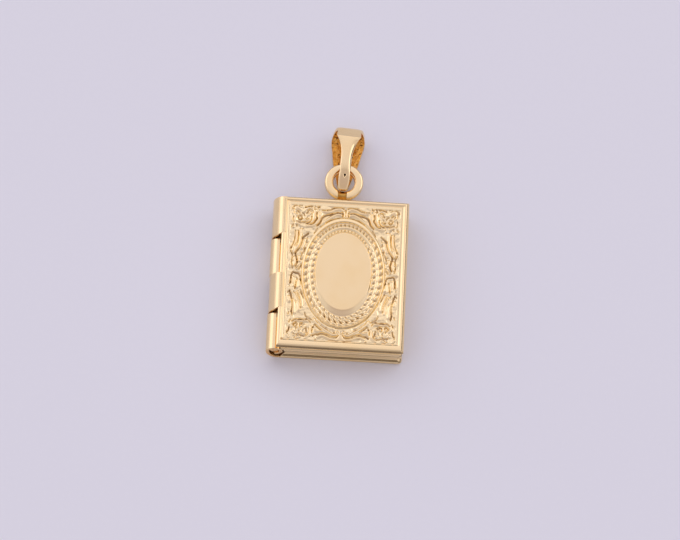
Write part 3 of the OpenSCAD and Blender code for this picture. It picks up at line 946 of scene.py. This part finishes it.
def make_field_scrolls(finishes):
    """The field round the bands: a fine grid pressed to the relief, closed underneath."""
    left, right, foot, head = FIELD_EDGES
    xs = np.linspace(left, right, round((right - left) / GRID_STEP) + 1)
    ys = np.linspace(foot, head, round((head - foot) / GRID_STEP) + 1)
    x, y = (grid.ravel() for grid in np.meshgrid(xs, ys))
    columns = len(xs)
    corner = (np.arange(len(ys) - 1)[:, None] * columns + np.arange(columns - 1)).ravel()
    middle_x, middle_y = x[corner] + GRID_STEP / 2, y[corner] + GRID_STEP / 2
    outside = (middle_x / FIELD_HOLE[0]) ** 2 + ((middle_y - TRENCH_SHIFT) / FIELD_HOLE[1]) ** 2 > 1
    corner = corner[outside]
    faces = np.column_stack([corner, corner + 1, corner + 1 + columns, corner + columns])
    used, faces = np.unique(faces, return_inverse=True)
    x, y = x[used], y[used]
    points = np.column_stack([face_x + x, face_y + y, field_z + relief_height(x, y)])
    mesh = mesh_of("field_scrolls", points, faces.reshape(-1, 4).tolist())

    shape = bmesh.new()
    shape.from_mesh(mesh)
    rim = [edge for edge in shape.edges if edge.is_boundary]
    skirt = bmesh.ops.extrude_edge_only(shape, edges=rim)["geom"]
    for part in skirt:
        if isinstance(part, bmesh.types.BMVert):
            part.co.z = (field_z - FACE_DEEP) * MM
    lower_rim = [part for part in skirt if isinstance(part, bmesh.types.BMEdge) and part.is_boundary]
    bmesh.ops.bridge_loops(shape, edges=lower_rim)
    # The skirt's faces come in another order each run, so they are put in one order
    shape.verts.index_update()
    by_corners = sorted(shape.faces, key=lambda face: sorted(vert.index for vert in face.verts))
    for i, face in enumerate(by_corners):
        face.index = i
    shape.faces.sort()
    shape.to_mesh(mesh)
    shape.free()
    dress(mesh, finishes, "front", "gold_front", sharp=70)


# Floor and lights, in metres


def make_floor(finish):
    """A wide flat sheet under the locket."""
    half = 12
    corners = [(-half, -half, 0), (half, -half, 0), (half, half, 0), (-half, half, 0)]
    mesh = bpy.data.meshes.new("floor")
    mesh.from_pydata(corners, [], [(0, 1, 2, 3)])
    mesh.materials.append(finish)
    floor = bpy.data.objects.new("floor", mesh)
    bpy.context.scene.collection.objects.link(floor)


def softbox(name, azimuth, elevation, size, glow):
    """A soft rectangular light that faces the locket. Azimuth 0 is towards the foot, and 90 towards the
    fore edge."""
    distance = 1.1
    a, e = math.radians(azimuth), math.radians(elevation)
    towards = Vector((math.sin(a) * math.cos(e), -math.cos(a) * math.cos(e), math.sin(e)))
    light = bpy.data.lights.new(name, "AREA")
    light.shape = "RECTANGLE"
    light.size, light.size_y = size
    light.energy = glow * math.pi * size[0] * size[1]
    light.color = (0.98, 0.945, 1.09)
    lamp = bpy.data.objects.new(name, light)
    lamp.location = towards * distance
    lamp.rotation_euler = towards.to_track_quat("Z", "Y").to_euler()
    lamp.visible_camera = False
    bpy.context.scene.collection.objects.link(lamp)


def make_studio():
    """A light tent of a faint lilac: brighter above the head, dimmer low at the foot, dark round the hole
    that it is looked through and at its rim, which is lower on the hinge's side."""
    world = bpy.data.worlds.new("tent")
    bpy.context.scene.world = world
    world.use_nodes = True
    tent = Finish("tent", world.node_tree)
    towards = tent.node("ShaderNodeTexCoord", {}, {}, output="Generated")
    hole = {0: towards, 1: (0, -0.35, 0.937)}
    to_hole = tent.node("ShaderNodeVectorMath", {"operation": "DOT_PRODUCT"}, hole, output="Value")
    to_fore, to_head, up = (tent.along(axis, towards) for axis in "XYZ")
    above_head = tent.spread(to_head, -0.1, 0.8)
    low_at_foot = 1 - tent.spread(to_head, -0.95, -0.3)
    at_hinge = 1 - tent.spread(to_fore, -0.9, -0.2)
    wall = tent.mix(above_head * 0.6 - low_at_foot * 0.35 + 0.35, TENT_DIM, TENT_BRIGHT)
    wall = tent.mix(tent.spread(to_hole, 0.86, 0.985), wall, TENT_HOLE)
    colour = tent.mix(tent.spread(up + at_hinge * 0.35, 0.1, 0.48), TENT_RIM, wall)
    glow = tent.node("ShaderNodeBackground", {}, {"Color": colour, "Strength": 1.0})
    tent.node("ShaderNodeOutputWorld", {}, {"Surface": glow})
    softbox("left_softbox", -116, 36, (0.8, 0.7), 0.48)
    softbox("right_softbox", 116, 34, (0.8, 0.65), 0.7)


# The photograph's view: turn towards the fore edge, tilt from upright and roll, in degrees, then the
# distance and the place that it looks at in millimetres, and the lens and the picture's width in pixels
VIEW_TURN, VIEW_TILT, VIEW_ROLL = -5.197, 20.536, -8.158
VIEW_DISTANCE = 560.43
VIEW_AT = Vector((0.213, head_y - 6.943, 1.8))
VIEW_LENS, VIEW_WIDTH = 5599.5, 680


def make_camera():
    turn, tilt, roll = (math.radians(a) for a in (VIEW_TURN, VIEW_TILT, VIEW_ROLL))
    back = Vector((math.sin(turn) * math.sin(tilt), -math.cos(turn) * math.sin(tilt), math.cos(tilt)))
    up = (Vector((0, 0, 1)) - back * back.z).normalized()
    right = up.cross(back)
    across = right * math.cos(roll) - up * math.sin(roll)
    upright = right * math.sin(roll) + up * math.cos(roll)
    data = bpy.data.cameras.new("camera")
    data.sensor_width = 36
    data.lens = VIEW_LENS / VIEW_WIDTH * data.sensor_width
    data.clip_start, data.clip_end = 0.01, 20
    camera = bpy.data.objects.new("camera", data)
    facing = Matrix((across, upright, back)).transposed().to_4x4()
    camera.matrix_world = Matrix.Translation((VIEW_AT + back * VIEW_DISTANCE) * MM) @ facing
    bpy.context.scene.collection.objects.link(camera)
    bpy.context.scene.camera = camera


make_camera()
make_studio()
make_floor(table_paper("paper"))
bpy.context.scene.view_settings.view_transform = "Standard"

front_gold = polished_gold("front_gold")
back_gold = polished_gold("back_gold", blur=0.16)
cut_gold = satin_gold("cut_gold")
make_front_case([front_gold, cut_gold])
# The face's gold has painted shade in its hollows
face_gold = polished_gold("face_gold", shaded_hollows=True)
make_oval_bands([face_gold])
make_field_scrolls([face_gold])
make_back_case([back_gold, cut_gold, strap_shaded_gold("strap_shaded_gold")])
make_pin([satin_gold("pin_gold")])
make_ring([polished_gold("ring_gold", blur=0.1)])
bail_gold = polished_gold("bail_gold", brushed=(1, 0.1, 1), blur=0.15)
make_bail([bail_gold, cast_gold("bail_inside"), flaw_brown("bail_flaw")])
